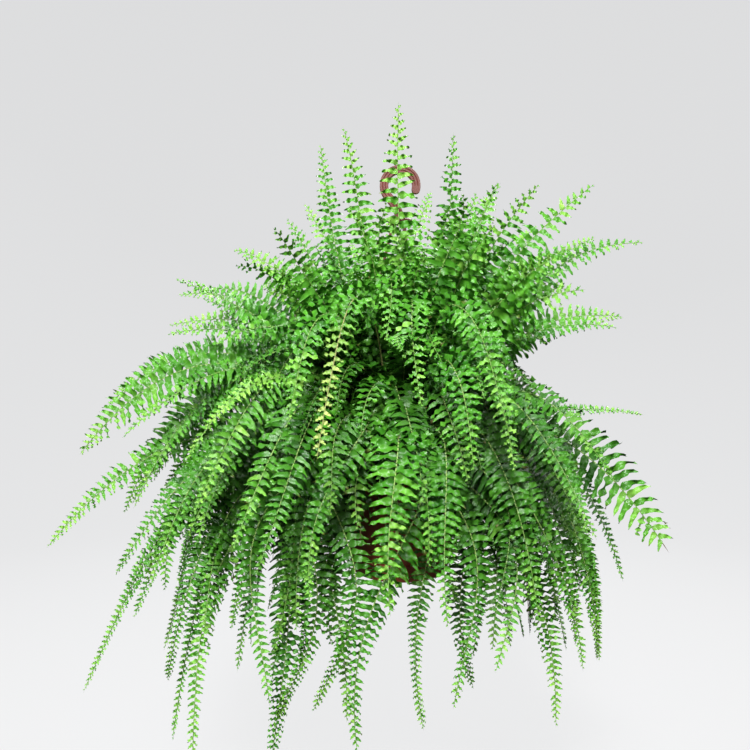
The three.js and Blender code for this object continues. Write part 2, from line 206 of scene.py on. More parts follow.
def unit(v):
    return v / np.maximum(np.linalg.norm(v, axis=-1, keepdims=True), 1e-12)


def guides(row):
    """The midrib's three guide points, as in the CAD model: on the crown, over the rim, the tip."""
    x, y, z, out, high = (float(n) for n in row[1:6])
    reach = math.hypot(x, y)
    lift = math.atan2(z, reach) / (math.pi / 2)
    r0 = CROWN_R / MM * min(0.93, 0.62 - 0.5 * lift)
    z0 = (CROWN_LOW.z - RIM_Z) / MM
    z0 += CROWN_H / MM * math.sqrt(max(0, 1 - (r0 * MM / CROWN_R) ** 2)) + 0.5
    rim = RIM_R / MM
    h = high
    t = 0.02
    while t < 1:
        r = (1 - t) ** 2 * r0 + 2 * t * (1 - t) * out * reach + t * t * reach
        if rim - RIM_BAND < r < rim + RIM_BAND:
            h = max(h, (RIM_CLEAR - (1 - t) ** 2 * z0 - t * t * z) / (2 * t * (1 - t)))
        t += 0.02
    away = (x / reach, y / reach)
    points = [(away[0] * r0, away[1] * r0, z0), (x * out, y * out, h), (x, y, z)]
    return np.array(points) * MM + UP * RIM_Z


def turned(points, angle):
    """The points turned about the pot's axis."""
    c, s = math.cos(angle), math.sin(angle)
    return points @ np.array([[c, s, 0], [-s, c, 0], [0, 0, 1]])


def cad_turn(row):
    """How far the CAD model turned this frond round the pot to clear its neighbours."""
    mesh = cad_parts["frond_" + row[0]].data
    co = np.zeros(len(mesh.vertices) * 3, np.float32)
    mesh.vertices.foreach_get("co", co)
    co = co.reshape(-1, 3).astype(float)
    tip = guides(row)[2]
    out = np.hypot(co[:, 0], co[:, 1]) - math.hypot(tip[0], tip[1])
    end = co[np.argmin(out**2 + (co[:, 2] - tip[2]) ** 2)]
    turn = math.atan2(end[1], end[0]) - math.atan2(tip[1], tip[0])
    return (turn + math.pi) % (2 * math.pi) - math.pi


def midrib(row, turn, rng, wobble):
    """The midrib's points and its along, side and upper-face directions, with their arc length."""
    a, b, c = turned(guides(row), turn)
    t = np.linspace(0, 1, RIB_STEPS)[:, None]
    at = (1 - t) ** 2 * a + 2 * t * (1 - t) * b + t * t * c
    away = unit(np.array([c[0], c[1], 0]))
    across = np.array([-away[1], away[0], 0])
    along = unit(np.gradient(at, axis=0))
    if np.cross(along[RIB_STEPS // 2], across) @ LIGHT < 0:
        across = -across
    size = np.linalg.norm(c - a)
    for waves, share in ((1.6, 0.012), (3.7, 0.005)):
        for way, part in ((across, 1.0), (UP, 0.5)):
            phase = rng.uniform(0, PHASE)
            swing = np.sin(waves * math.pi * t + phase) - math.sin(phase) * (1 - t)
            at = at + way * swing * size * share * part * wobble * t
    # a hanging frond sweeps to one side as well
    droop = max(0.0, min(1.0, -row[3] / 300))
    sweep = rng.choice((-1, 1)) * rng.uniform(0.3, 1.0) * 0.058 * droop
    at = at + across * sweep * np.sin(rng.uniform(1.5, 2.4) * math.pi * t**1.6)
    along = unit(np.gradient(at, axis=0))
    natural = unit(np.cross(along, across))
    face = row[7] * smooth(0.1, 0.45, t)
    roll = math.radians(rng.uniform(-10, 10)) * wobble * smooth(0.1, 0.8, t)
    side = unit(np.cross(natural * (1 - face) + LIGHT * face, along))
    normal = np.cross(along, side)
    side, normal = (
        side * np.cos(roll) + normal * np.sin(roll),
        normal * np.cos(roll) - side * np.sin(roll),
    )
    step = np.linalg.norm(np.diff(at, axis=0), axis=1)
    arc = np.concatenate([[0], np.cumsum(step)])
    return at, along, side, normal, arc


def sample(values, arc, s):
    """What values, given along arc, are at the lengths s."""
    return np.stack([np.interp(s, arc, values[:, k]) for k in range(3)], -1)


# ---------------------------------------------------------------- meshes made of grids
CELL_SHAPE = 3.4  # how much taller than wide an island's cell of the bake map is


def link(name, mesh, material):
    mesh.materials.append(material)
    made = bpy.data.objects.new(name, mesh)
    bpy.context.scene.collection.objects.link(made)
    return made


class Sheets:
    """Collects grids of points into one mesh with colours, leaf coordinates and a bake map."""

    def __init__(self):
        self.co, self.quads, self.tint, self.leaf, self.cells = [], [], [], [], []
        self.count = 0
        self.islands = 0

    def grid(self, points, tint, leaf, flip=False):
        """points, tint and leaf are (grids, rows, columns, 3); each grid is one island."""
        k, n, m, _ = points.shape
        index = self.count + np.arange(k * n * m).reshape(k, n, m)
        a, b = index[:, :-1, :-1], index[:, 1:, :-1]
        c, d = index[:, 1:, 1:], index[:, :-1, 1:]
        quads = np.stack([a, d, c, b] if flip else [a, b, c, d], -1).reshape(-1, 4)
        u = np.broadcast_to(np.linspace(0, 1, n)[None, :, None], (k, n, m))
        v = np.broadcast_to(np.linspace(0, 1, m)[None, None, :], (k, n, m))
        cell = self.islands + np.broadcast_to(np.arange(k)[:, None, None], (k, n, m))
        self.cells.append(np.stack([u, v, cell], -1).reshape(-1, 3))
        self.co.append(points.reshape(-1, 3))
        self.tint.append(np.broadcast_to(tint, points.shape).reshape(-1, 3))
        self.leaf.append(np.broadcast_to(leaf, points.shape).reshape(-1, 3))
        self.quads.append(quads)
        self.count += k * n * m
        self.islands += k

    def bake_map(self):
        """Gives every island its own cell of the map: tall cells, u up and v across."""
        across = max(1, math.ceil(math.sqrt(self.islands * CELL_SHAPE)))
        down = math.ceil(self.islands / across)
        u, v, cell = np.concatenate(self.cells).T
        column, line = cell % across, cell // across
        return np.stack(
            [(column + 0.06 + 0.88 * v) / across, (line + 0.04 + 0.92 * u) / down], -1
        )

    def build(self, name, material):
        co = np.concatenate(self.co)
        quads = np.concatenate(self.quads)
        tint = np.concatenate(self.tint)
        leaf = np.concatenate(self.leaf)
        mesh = bpy.data.meshes.new(name)
        mesh.vertices.add(len(co))
        mesh.vertices.foreach_set("co", co.astype(np.float32).ravel())
        mesh.loops.add(len(quads) * 4)
        mesh.loops.foreach_set("vertex_index", quads.ravel().astype(np.int32))
        mesh.polygons.add(len(quads))
        mesh.polygons.foreach_set("loop_start", np.arange(0, len(quads) * 4, 4, dtype=np.int32))
        mesh.update(calc_edges=True)
        mesh.polygons.foreach_set("use_smooth", np.ones(len(quads), bool))
        colour = mesh.attributes.new("tint", "FLOAT_COLOR", "POINT")
        rgba = np.concatenate([tint, np.ones((len(tint), 1))], 1)
        colour.data.foreach_set("color", rgba.astype(np.float32).ravel())
        place = mesh.attributes.new("leaf", "FLOAT_VECTOR", "POINT")
        place.data.foreach_set("vector", leaf.astype(np.float32).ravel())
        layer = mesh.uv_layers.new(name="OFBake", do_init=False)
        uv = self.bake_map()[quads.ravel()]
        layer.uv.foreach_set("vector", uv.astype(np.float32).ravel())
        return link(name, mesh, material)


# ---------------------------------------------------------------- a frond's leaflets and stem
GREENS = {
    "deep": np.array([0.004, 0.062, 0.001]),
    "mid": np.array([0.016, 0.160, 0.003]),
    "fresh": np.array([0.100, 0.350, 0.024]),
    "lime": np.array([0.33, 0.60, 0.10]),
    "rib": np.array([0.30, 0.47, 0.12]),
    "tan": np.array([0.42, 0.31, 0.14]),
    "cream": np.array([0.62, 0.66, 0.22]),
    "brown": np.array([0.16, 0.075, 0.03]),
}
UNDER_TINT = np.array([1.15, 1.02, 1.4])  # a leaflet's underside is a little paler
UNDER_PALE = np.array([0.003, 0.012, 0.001])

REACH = 1.17  # how much longer a curved leaflet is than the half width it covers
USUAL_WIDTH = 62 * MM  # of a frond; spacing and stem follow the root of the width
SHORTEST = 0.0068  # length of the leaflets near the tip
HALF_LEAF = 0.00022  # from a leaflet's middle to its faces
STEM_R = 0.0015
STEM_RINGS = 40
STEM_SIDES = 6
# painted shade: leaves inside this half size of the plant are painted darker
PAINTED_SHADE_HALF_SIZE = np.array([0.42, 0.30, 0.40])  # half the plant's size, inside which leaves get darker


def outline(t, full, tail):
    """Half width along the midrib, as a share of the widest: a full end is blunt, a tail slim."""
    body = 1 - np.clip((t - 0.36) / 0.655, 0, 1) ** full
    slim = (1 - 0.74 * smooth(0.38, 0.88, t)) * (1 - smooth(0.95, 1.0, t))
    return np.maximum(smooth(0.02, 0.22, t) * mix(body, slim, tail), 0.09 * smooth(0.05, 0.1, t))


def leaflet_places(first, last, length, gap, full, slim, rng):
    """How far along the midrib each leaflet leaves it: nearer together where they are short."""
    places = []
    s = first
    while s < last:
        places.append(s)
        s += gap * (0.74 + 0.26 * float(outline(s / length, full, slim))) * rng.uniform(0.92, 1.08)
    return np.array(places)


def leaflet_sizes(share, width, full, slim, rising, dice):
    """Each leaflet's length and breadth; a few are stunted."""
    k = len(share)
    size = REACH * width / 2 * outline(share, full, slim) * dice.uniform(0.93, 1.05, k)
    least = SHORTEST * dice.uniform(0.8, 1.2, k) * (1 - 0.75 * smooth(0.95, 1, share))
    size = np.maximum(size, least)
    stunted = dice.random(k) < 0.012
    size[stunted] *= 0.3
    broad = np.minimum(0.0029 + 0.175 * size, size * 0.66) * dice.uniform(0.88, 1.12, k)
    return size, broad * (1 + 0.10 * rising)


def centre_lines(origin, ahead, out, face, size, share, u, dice):
    """Each leaflet's own centre line: out, a little forward, then bent over by its weight."""
    k, rows = len(size), len(u) - 1
    lean = np.radians(dice.uniform(-2, 14, k) + 24 * smooth(0.8, 1.0, share))
    curl = np.radians(dice.uniform(4, 26, k))
    rise = np.radians(dice.uniform(4, 18, k))
    sag = dice.uniform(0.40, 0.80, k) * (0.45 + 0.55 * smooth(0.01, 0.035, size))
    sag = sag * (1 + 0.5 * np.clip(ahead[:, 2] * 1.4, 0, 1))
    line = np.zeros((k, rows + 1, 3))
    dirs = np.zeros((k, rows + 1, 3))
    line[:, 0] = origin
    for j, w in enumerate(u):
        angle = lean + curl * w
        flat = out * np.cos(angle)[:, None] + ahead * np.sin(angle)[:, None]
        lift = np.sin(rise * (1 - 1.6 * w))[:, None]
        dirs[:, j] = unit(flat + face * lift - UP * (sag * w**1.5)[:, None])
        if j < rows:
            line[:, j + 1] = line[:, j] + dirs[:, j] * (size / rows)[:, None]
    return line, dirs


def leaflet_width(u, v, broad, dice):
    """How far each point is from the centre line: wavy edges, and an ear at the upper base."""
    k = len(broad)
    body = np.clip(1 - u**2.6, 0, 1) ** 0.85 * (0.88 + 0.12 * np.exp(-(((u - 0.16) / 0.2) ** 2)))
    body = body * (0.66 + 0.34 * smooth(0, 0.11, u))
    body[-1] = 0.08
    half = broad[:, None] * body[None, :] * 0.5
    beat = dice.uniform(1.8, 2.8, (k, 1))
    shift = dice.uniform(0, PHASE, (k, 1))
    half = half * (1 + 0.08 * np.sin(beat * 2 * math.pi * u[None, :] + shift))
    ear = 1 + 0.30 * np.exp(-(((u - 0.12) / 0.08) ** 2))
    return half[:, :, None] * v * np.where(v[None, None, :] > 0, ear[None, :, None], 1.0)


def leaflet_ruffle(u, v, broad, dice):
    """How far each point stands off the leaflet's flat face: a shallow fold and ruffled edges."""
    k = len(broad)
    phase = dice.uniform(0, PHASE, (k, 1, 1))
    waves = dice.uniform(1.7, 2.7, (k, 1, 1))
    ruffle = np.sin(waves * 2 * math.pi * u[None, :, None] + phase + 1.3 * np.sign(v))
    depth = broad[:, None, None] * dice.uniform(0.24, 0.60, (k, 1, 1))
    fold = 0.12 * broad[:, None, None] * np.abs(v)
    return ruffle * depth * v**2 * smooth(0, 0.15, u)[None, :, None] + fold


def leaflet_points(line, dirs, face, hand, broad, rising, u, v, dice):
    """Each leaflet's grid of points, twisted along its length, and its upper face's direction."""
    twist = np.radians(dice.normal(0, 17 - 7 * rising, len(broad)))[:, None] * (0.25 + u[None, :])
    lateral = unit(np.cross(dirs, np.broadcast_to(face[:, None], dirs.shape)))
    lateral *= -hand[:, None, None]  # points towards the frond's tip on both sides
    top = np.cross(dirs, lateral) * hand[:, None, None]
    c, n = np.cos(twist)[..., None], np.sin(twist)[..., None]
    lateral, top = lateral * c + top * n, top * c - lateral * n
    across = leaflet_width(u, v, broad, dice)[..., None]
    push = leaflet_ruffle(u, v, broad, dice)[..., None]
    return line[:, :, None] + lateral[:, :, None] * across + top[:, :, None] * push, top


def leaflet_tints(origin, share, u, v, tone, shine, pale, dice):
    """Each point's colour: fresher and lighter at the frond's tip, partly as painted glow; painted
    shade at each leaflet's base and towards the plant's middle, painted highlight at its edges and
    end; some ends brown.
    """
    k = len(share)
    # lighter towards the frond's tip: partly the young growth's own fresher green, partly painted glow
    # of light through the thin leaves
    fresh = np.clip(tone + shine * smooth(0.62, 1.0, share) + dice.normal(0, 0.15, k), 0, 1.25)
    base = mix(GREENS["mid"], GREENS["fresh"], np.clip(fresh, 0, 1)[:, None])
    base = mix(base, GREENS["lime"], np.clip(fresh - 0.62, 0, 0.6)[:, None] * 1.1)
    base = mix(base, GREENS["deep"], np.clip(0.35 - fresh, 0, 0.35)[:, None] * 2)
    faded = pale * smooth(0.62, 0.9, share) * dice.uniform(0.5, 1, k)
    base = mix(base, GREENS["cream"], faded[:, None])
    # painted shade: darker towards the middle of the plant, where the leaves shade each other
    inside = np.linalg.norm((origin - UP * (RIM_Z - 0.02)) / PAINTED_SHADE_HALF_SIZE, axis=1)
    base = base * mix(0.26, 1.12, smooth(0.32, 0.9, inside))[:, None]
    # painted shade: each leaflet darker at its base by the midrib and lighter outward
    tint = base[:, None, None] * mix(0.62, 1.14, smooth(0.0, 0.55, u))[None, :, None, None]
    tint = np.broadcast_to(tint, (k, len(u), len(v), 3))
    # painted highlight: lighter towards each leaflet's edges and end
    edge = (np.abs(v) ** 2)[None, None, :, None] * 0.30 + (u**2)[None, :, None, None] * 0.25
    tint = mix(tint, mix(base * 1.5, GREENS["lime"], 0.12)[:, None, None], edge)
    rib = (1 - np.abs(v))[None, None, :, None] * 0.30
    tint = mix(tint, mix(base * 1.6, GREENS["rib"], 0.12)[:, None, None], rib)
    worn = (dice.random(k) < 0.05)[:, None, None, None] * smooth(0.75, 1.0, u)[None, :, None, None]
    return mix(tint, GREENS["brown"], worn * 0.8)


def add_leaflets(sheets, points, top, tint, size, hand, u, v):
    """Adds each leaflet's upper and under side, which meet at its edges."""
    shape = points.shape[:3]
    along = np.broadcast_to(u[None, :, None], shape) * size[:, None, None] / MM
    leaf = np.stack([along, np.broadcast_to(v[None, None, :], shape), np.zeros(shape)], -1)
    inner = (u > 0) & (u < 1)
    thick = HALF_LEAF * (1 - np.abs(v) ** 3)[None, None, :, None] * inner[None, :, None, None]
    under = tint * UNDER_TINT + UNDER_PALE
    left = hand > 0
    for one, turn_over in ((left, False), (~left, True)):
        offset = top[one][:, :, None] * thick
        sheets.grid(points[one] + offset, tint[one], leaf[one], flip=not turn_over)
        sheets.grid(points[one] - offset, under[one], leaf[one], flip=turn_over)


def add_stem(sheets, at, side, normal, arc, stout, pale, thread):
    """Adds the midrib: a tapering stem, tan at its foot and green towards the tip."""
    length = arc[-1]
    t = np.linspace(0, 1, STEM_RINGS)
    q = t * length
    centre, x, y = sample(at, arc, q), sample(side, arc, q), sample(normal, arc, q)
    r = (STEM_R * (1 - 0.72 * t) * stout)[:, None, None]
    a = np.linspace(0, 2 * math.pi, STEM_SIDES + 1)[None, :, None]
    ring = centre[:, None] + (x[:, None] * np.cos(a) + y[:, None] * np.sin(a)) * r
    ring[-1] = centre[-1]
    tint = mix(GREENS["rib"], GREENS["tan"], (1 - smooth(0.0, 0.45, t))[:, None] * 0.75)
    tint = mix(tint, GREENS["fresh"], smooth(0.6, 1.0, t)[:, None] * 0.5)
    tint = mix(tint, GREENS["tan"], pale * 0.8)
    if thread:
        dry = smooth(length - thread * 1.6, length - thread, q)[:, None]
        tint = mix(tint, GREENS["brown"], dry)
    leaf = np.zeros((1, STEM_RINGS, STEM_SIDES + 1, 3))
    leaf[..., 0] = (q / MM)[None, :, None]
    sheets.grid(ring[None], tint[None, :, None], leaf)


def frond(sheets, row, turn, seed, rows=9, columns=2, wobble=1.6, spacing=10.4, tone=0.5,
          shine=0.48, tail=None, blunt=None, pale=0.0, thread=0.0):
    """Adds one frond: two rows of curved, ruffled leaflets on a tapering midrib.

    wobble is how far it strays from its curve, spacing the mm between leaflets on one side, tone
    how fresh its green is and shine how much lighter at the tip, partly young growth's green and
    partly painted glow, tail how slim its end is, blunt how full, pale how faded its tip is, and
    thread the length of a bare, dry end.
    """
    rng = random.Random(seed)
    dice = np.random.default_rng(seed)
    at, along, side, normal, arc = midrib(row, turn, rng, wobble)
    length = arc[-1]
    width = row[6] * MM
    stout = math.sqrt(width / USUAL_WIDTH)
    bare = rng.uniform(0.05, 0.09)
    rising = max(0.0, min(1.0, row[3] / 400))
    hanging = max(0.0, min(1.0, -row[3] / 260))
    full = rng.uniform(1.7, 2.1) + 0.9 * rising if blunt is None else blunt
    slim = rng.uniform(0.55, 1.0) * hanging if tail is None else tail
    gap = spacing * MM * stout / 2 * (1 + 0.30 * rising)
    last = length * 0.992 - thread
    s = leaflet_places(bare * length, last, length, gap, full, slim, rng)
    hand = np.where(np.arange(len(s)) % 2 == 0, 1.0, -1.0)  # left and right in turn
    share = s / length
    size, broad = leaflet_sizes(share, width, full, slim, rising, dice)
    origin, face = sample(at, arc, s), sample(normal, arc, s)
    ahead, out = sample(along, arc, s), sample(side, arc, s) * hand[:, None]
    u = np.linspace(0, 1, rows + 1)
    v = np.linspace(-1, 1, columns + 1)
    line, dirs = centre_lines(origin, ahead, out, face, size, share, u, dice)
    points, top = leaflet_points(line, dirs, face, hand, broad, rising, u, v, dice)
    tint = leaflet_tints(origin, share, u, v, tone, shine, pale, dice)
    add_leaflets(sheets, points, top, tint, size, hand, u, v)
    add_stem(sheets, at, side, normal, arc, stout, pale, thread)


# ---------------------------------------------------------------- materials
class Look:
    """A node material, with the few kinds of node that the materials below share."""

    def __init__(self, name):
        self.material = bpy.data.materials.new(name)
        self.material.use_nodes = True
        self.tree = self.material.node_tree
        self.shader = self.tree.nodes["Principled BSDF"]

    def node(self, kind, **values):
        made = self.tree.nodes.new(kind)
        for name, value in values.items():
            made.inputs[name].default_value = value
        return made

    def join(self, output, socket):
        self.tree.links.new(output, socket)

    def pattern(self, kind, **values):
        """A noise or cell texture in the piece's own coordinates."""
        coords = self.node("ShaderNodeTexCoord")
        made = self.node(kind, **values)
        self.join(coords.outputs["Object"], made.inputs["Vector"])
        return made

    def attribute(self, name):
        made = self.node("ShaderNodeAttribute")
        made.attribute_name = name
        return made

    def calculate(self, operation, *terms):
        """The output of a math node, whose terms are numbers or other nodes' outputs."""
        made = self.node("ShaderNodeMath")
        made.operation = operation
        for socket, term in zip(made.inputs, terms):
            if isinstance(term, float):
                socket.default_value = term
            else:
                self.join(term, socket)
        return made.outputs[0]

    def spread(self, value, low, high):
        """A value from 0 to 1 spread over another range."""
        made = self.node("ShaderNodeMapRange")
        made.inputs["To Min"].default_value = low
        made.inputs["To Max"].default_value = high
        self.join(value, made.inputs["Value"])
        return made

    def colours(self, value, low, high, start=0.0, end=1.0):
        ramp = self.node("ShaderNodeValToRGB")
        for element, colour, position in zip(ramp.color_ramp.elements, (low, high), (start, end)):
            element.position = position
            element.color = (*colour, 1)
        self.join(value, ramp.inputs["Fac"])
        self.join(ramp.outputs["Color"], self.shader.inputs["Base Color"])

    def bump(self, height, strength, depth):
        made = self.node("ShaderNodeBump", Strength=strength, Distance=depth)
        self.join(height, made.inputs["Height"])
        self.join(made.outputs["Normal"], self.shader.inputs["Normal"])

    def roughness(self, value, low, high):
        made = self.spread(value, low, high)
        self.join(made.outputs["Result"], self.shader.inputs["Roughness"])


def leaf_material():
    """Each point's colour, painted shade, highlight and glow included, a little mottled, with side
    veins slanting off each midrib.
    """
    look = Look("fern_leaf")
    noise = look.pattern("ShaderNodeTexNoise", Scale=160, Detail=3)
    mottle = look.spread(noise.outputs["Fac"], 0.78, 1.22)
    mottle.inputs["From Min"].default_value = 0.3
    mottle.inputs["From Max"].default_value = 0.7
    shade = look.node("ShaderNodeVectorMath")
    shade.operation = "SCALE"
    look.join(look.attribute("tint").outputs["Color"], shade.inputs[0])
    look.join(mottle.outputs["Result"], shade.inputs["Scale"])
    look.join(shade.outputs["Vector"], look.shader.inputs["Base Color"])

    place = look.node("ShaderNodeSeparateXYZ")
    look.join(look.attribute("leaf").outputs["Vector"], place.inputs["Vector"])
    off_midrib = look.calculate("ABSOLUTE", place.outputs["Y"])
    slant = look.calculate("MULTIPLY_ADD", off_midrib, -1.6, place.outputs["X"])
    veins = look.calculate("SINE", look.calculate("MULTIPLY", slant, 4.2))
    look.bump(look.calculate("MULTIPLY_ADD", veins, 0.5, noise.outputs["Fac"]), 0.5, 0.0004)
    look.roughness(noise.outputs["Fac"], 0.22, 0.42)
    look.shader.inputs["Specular IOR Level"].default_value = 0.5
    return look.material


def moulded(name, dark, light, roughness, grain):
    """Moulded plastic: slightly uneven colour and shine, and a fine grain."""
    look = Look(name)
    cloud = look.pattern("ShaderNodeTexNoise", Scale=22, Detail=6).outputs["Fac"]
    fine = look.pattern("ShaderNodeTexNoise", Scale=grain, Detail=4).outputs["Fac"]
    look.colours(cloud, dark, light, 0.34, 0.7)
    look.bump(fine, 0.3, 0.0003)
    look.roughness(cloud, roughness - 0.12, roughness + 0.14)
    return look.material


def speckled(name, dark, light, roughness, scale):
    """Loose grains, each with its own colour and shine."""
    look = Look(name)
    grain = look.pattern("ShaderNodeTexVoronoi", Scale=scale)
    split = look.node("ShaderNodeSeparateColor")
    look.join(grain.outputs["Color"], split.inputs["Color"])
    look.colours(split.outputs["Red"], dark, light)
    look.bump(grain.outputs["Distance"], 0.7, 0.001)
    look.roughness(split.outputs["Green"], roughness - 0.1, roughness + 0.08)
    return look.material


def stalk_material():
    """Young stalks and runners: brown and green in patches."""
    look = Look("young_stalk")
    noise = look.pattern("ShaderNodeTexNoise", Scale=60).outputs["Fac"]
    look.colours(noise, (0.16, 0.085, 0.035), (0.20, 0.30, 0.07), 0.35, 0.65)
    look.bump(noise, 0.4, 0.0004)
    look.roughness(noise, 0.45, 0.75)
    return look.material


LEAF = leaf_material()
POT_PLASTIC = moulded("pot_plastic", (0.36, 0.085, 0.045), (0.50, 0.130, 0.070), 0.50, 420)
HANGER_PLASTIC = moulded("hanger_plastic", (0.13, 0.036, 0.027), (0.23, 0.070, 0.058), 0.42, 700)
SOIL = speckled("potting_mix", (0.018, 0.011, 0.007), (0.085, 0.052, 0.030), 0.85, 900)
PERLITE = speckled("perlite", (0.50, 0.48, 0.44), (0.72, 0.70, 0.66), 0.8, 1400)
BARK = speckled("crown_bark", (0.050, 0.030, 0.014), (0.17, 0.105, 0.050), 0.8, 700)
STALK = stalk_material()


def piece(made, slot, *nodes):
    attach(made, "root")
    if nodes:
        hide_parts(*nodes)


# ---------------------------------------------------------------- the fronds
DETAILED = {"t01", "f01", "t15", "f02", "f03", "s06", "s01", "f26", "f23", "s07"}
SPECIAL = {
    "f02": dict(tail=1.0, pale=0.7, tone=0.5, shine=0.2, spacing=12.4),
    "f04": dict(tone=0.8),
    "t15": dict(thread=0.014, spacing=11.4, blunt=3.8),
    "t14": dict(tail=0.0),
    "s01": dict(tone=0.55),
    "t01": dict(tone=0.62, blunt=2.6),
    "s06": dict(blunt=2.6),
    "s07": dict(blunt=2.4),
    "t16": dict(tail=0.25, tone=0.5),
    "t17": dict(tail=0.4, tone=0.5),
    "e14": dict(tail=0.3, tone=0.45),
    "e36": dict(tail=0.2, tone=0.45),
    "e37": dict(tail=0.15, tone=0.5),
    "e38": dict(tail=0.2, tone=0.5),
}
MAIN_TONES = (0.30, 0.44, 0.36, 0.52, 0.24, 0.48)
EXTRA_TONES = (0.26, 0.40, 0.33)


def options(i, row, tones):
    return {"tone": tones[i % len(tones)], **SPECIAL.get(row[0], {})}


def in_groups(rows, size):
    """Rows with their numbers, sorted round the pot and cut into groups of neighbours."""
    ordered = sorted(rows, key=lambda pair: math.atan2(pair[1][2], pair[1][1]))
    return [ordered[i : i + size] for i in range(0, len(ordered), size)]


for i, row in enumerate(FRONDS):
    sheets = Sheets()
    rows, columns = (12, 4) if row[0] in DETAILED else (10, 2)
    frond(sheets, row, cad_turn(row), 100 + i, rows, columns, **options(i, row, MAIN_TONES))
    piece(sheets.build("fern_" + row[0], LEAF), "frond_green", "frond_" + row[0])

for g, group in enumerate(in_groups(enumerate(EXTRA), 5)):
    sheets = Sheets()
    for i, row in group:
        frond(sheets, row, 0.0, 300 + i, rows=8, wobble=2.5, **options(i, row, EXTRA_TONES))
    piece(sheets.build(f"front_fronds_{g + 1:02d}", LEAF), "frond_green")

# The fronds between the outer ones and the middle, of which some stand behind only. Each is turned
# on from the last by the golden section, so that they spread evenly round the pot.
MIDDLE = 84
BEHIND = 22
GOLDEN = 0.61803
LEFT, RIGHT, NEAR, FAR = 455, 365, 270, 370  # mm that they may reach to each side
FRONT = -0.88  # sine of the turn past which a frond would hang straight in front of the pot


def middle_row(i):
    """A row like those of FRONDS, for a frond that hangs, rises or arches in turn."""
    rng = random.Random(700 + i)
    turn = 2 * math.pi * (i * GOLDEN) % (2 * math.pi)
    if i >= MIDDLE:
        turn = math.pi * ((i * GOLDEN) % 1)
    side = math.cos(turn)
    across = LEFT if side < 0 else RIGHT
    deep = NEAR if math.sin(turn) < 0 else FAR
    most = math.hypot(across * side, deep * math.sin(turn))
    kind = ("hang", "rise", "arch")[i % 3]
    if kind == "rise":
        reach, high = most * rng.uniform(0.25, 0.75), rng.uniform(240, 420)
        high = min(high, 440 - reach * abs(side) * (0.55 if side < 0 else 0.25))
        out, guide = 0.5, rng.uniform(250, 300)
    elif kind == "arch":
        reach, high = most * rng.uniform(0.75, 0.97), rng.uniform(-90, 210)
        if side > 0.5 and high > 20:
            reach *= 0.55
        out, guide = 0.55, rng.uniform(220, 310)
    else:
        reach, high = most * rng.uniform(0.5, 0.85), rng.uniform(-270, -70)
        if math.sin(turn) < FRONT:
            high = rng.uniform(-60, 20)
        out, guide = rng.uniform(0.75, 0.98), rng.uniform(140, 210)
    tip = [reach * math.cos(turn), reach * math.sin(turn), high]
    return ["middle", *tip, out, guide, rng.uniform(56, 72), rng.uniform(0.5, 0.95)]


middle_rows = [(i, middle_row(i)) for i in range(MIDDLE + BEHIND)]
for g, group in enumerate(in_groups(middle_rows, 8)):
    sheets = Sheets()
    for i, row in group:
        tone = random.Random(i).uniform(0.2, 0.5)
        frond(sheets, row, 0.0, 800 + i, rows=6, tone=tone, wobble=3.0)
    piece(sheets.build(f"middle_fronds_{g + 1:02d}", LEAF), "frond_green")

# The many shorter fronds round the crown, in groups by the side they grow on. Each kind: reach and
# height of the tip in mm, guide point's reach as a share and its height in mm.
SECTORS = 10
INNER = 8
INNER_KINDS = ((215, -190, 0.95, 170), (260, 20, 0.6, 230), (150, 270, 0.5, 230), (265, 150, 0.5, 260))


def inner_row(sector, j, rng):
    turn = 2 * math.pi * (sector + (j + 0.5) / INNER + rng.uniform(-0.2, 0.2)) / SECTORS
    kind = j % len(INNER_KINDS)
    reach, high, out, guide = INNER_KINDS[kind]
    reach *= rng.uniform(0.85, 1.08)
    high += rng.uniform(-60, 60)
    if kind == 0 and math.sin(turn) < FRONT:
        high += 160
    if kind in (1, 3) and math.cos(turn) > 0.5:
        reach *= 0.78
    tip = [reach * math.cos(turn), reach * math.sin(turn), high]
    return ["inner", *tip, out, guide, rng.uniform(48, 60), 0.0]


for sector in range(SECTORS):
    sheets = Sheets()
    for j in range(INNER):
        number = sector * 20 + j
        rng = random.Random(1000 + number)
        row = inner_row(sector, j, rng)
        tone = rng.uniform(0.1, 0.35)
        frond(sheets, row, 0.0, 2000 + number, rows=4, tone=tone, wobble=3, shine=0.25)
    piece(sheets.build(f"inner_fronds_{sector + 1:02d}", LEAF), "frond_green")


# ---------------------------------------------------------------- pot, saucer and hanger
for node in ("hanger_hook", "hanger_strand_1", "hanger_strand_2", "hanger_strand_3"):
    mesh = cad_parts[node].data
    mesh.materials.clear()
    mesh.materials.append(HANGER_PLASTIC)


def solid(name, co, faces, material, smooth_faces=False, sharp=None):
    """A mesh from points and faces; edges that turn by more than sharp degrees stay hard."""
    mesh = bpy.data.meshes.new(name)
    mesh.from_pydata([tuple(c) for c in co], [], faces)
    mesh.validate()
    if smooth_faces:
        mesh.polygons.foreach_set("use_smooth", [True] * len(mesh.polygons))
    if sharp:
        mesh.set_sharp_from_angle(angle=math.radians(sharp))
    return link(name, mesh, material)


def lathe(name, profile, segments=160):
    """A closed profile of (radius, height) in mm above the saucer's underside, turned about Z."""
    ring = np.array(profile, float) * MM
    m = len(ring)
    a = np.linspace(0, 2 * math.pi, segments, endpoint=False)[:, None]
    z = np.broadcast_to(ring[:, 1], (segments, m)) + POT_LOW
    co = np.stack([ring[:, 0] * np.cos(a), ring[:, 0] * np.sin(a), z], -1).reshape(-1, 3)
    faces = []
    for j in range(segments):
        k = (j + 1) % segments
        for i in range(m):
            n = (i + 1) % m
            faces.append((j * m + i, k * m + i, k * m + n, j * m + n))
    return solid(name, co, faces, POT_PLASTIC, smooth_faces=True, sharp=32)


def arc_points(cx, cz, r, first, last, count):
    angles = np.radians(np.linspace(first, last, count))
    return [(cx + r * math.cos(a), cz + r * math.sin(a)) for a in angles]


